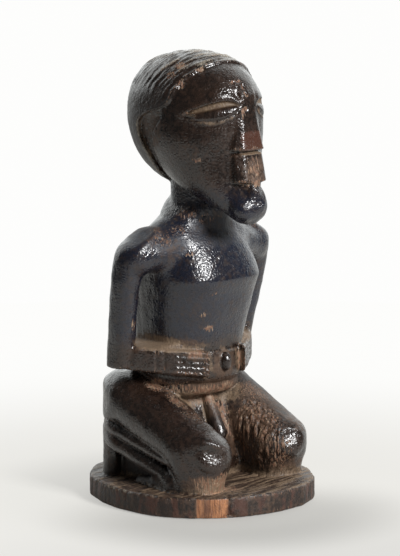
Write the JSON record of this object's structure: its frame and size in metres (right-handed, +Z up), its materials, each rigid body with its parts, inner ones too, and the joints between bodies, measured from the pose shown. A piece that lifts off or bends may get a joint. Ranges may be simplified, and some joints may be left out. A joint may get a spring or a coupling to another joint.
{
  "type": "kneeling power figure",
  "caption": "Kneeling wooden figure with its hands at the navel, a large head and a jutting chin, carved in one with a low round base.",
  "frame": {"origin": "middle of the base's outline, on its underside", "axes": "+Z up, the face and knees towards -Y, the figure's right side at -X"},
  "size_m": [0.0832, 0.087, 0.17],
  "materials": {
    "wood": "dark brown-black oiled patina, glossy on the high places, worn to tan fibre in patches"
  },
  "bodies": {
    "root": {"power_figure": "wood"}
  },
  "joints": []
}
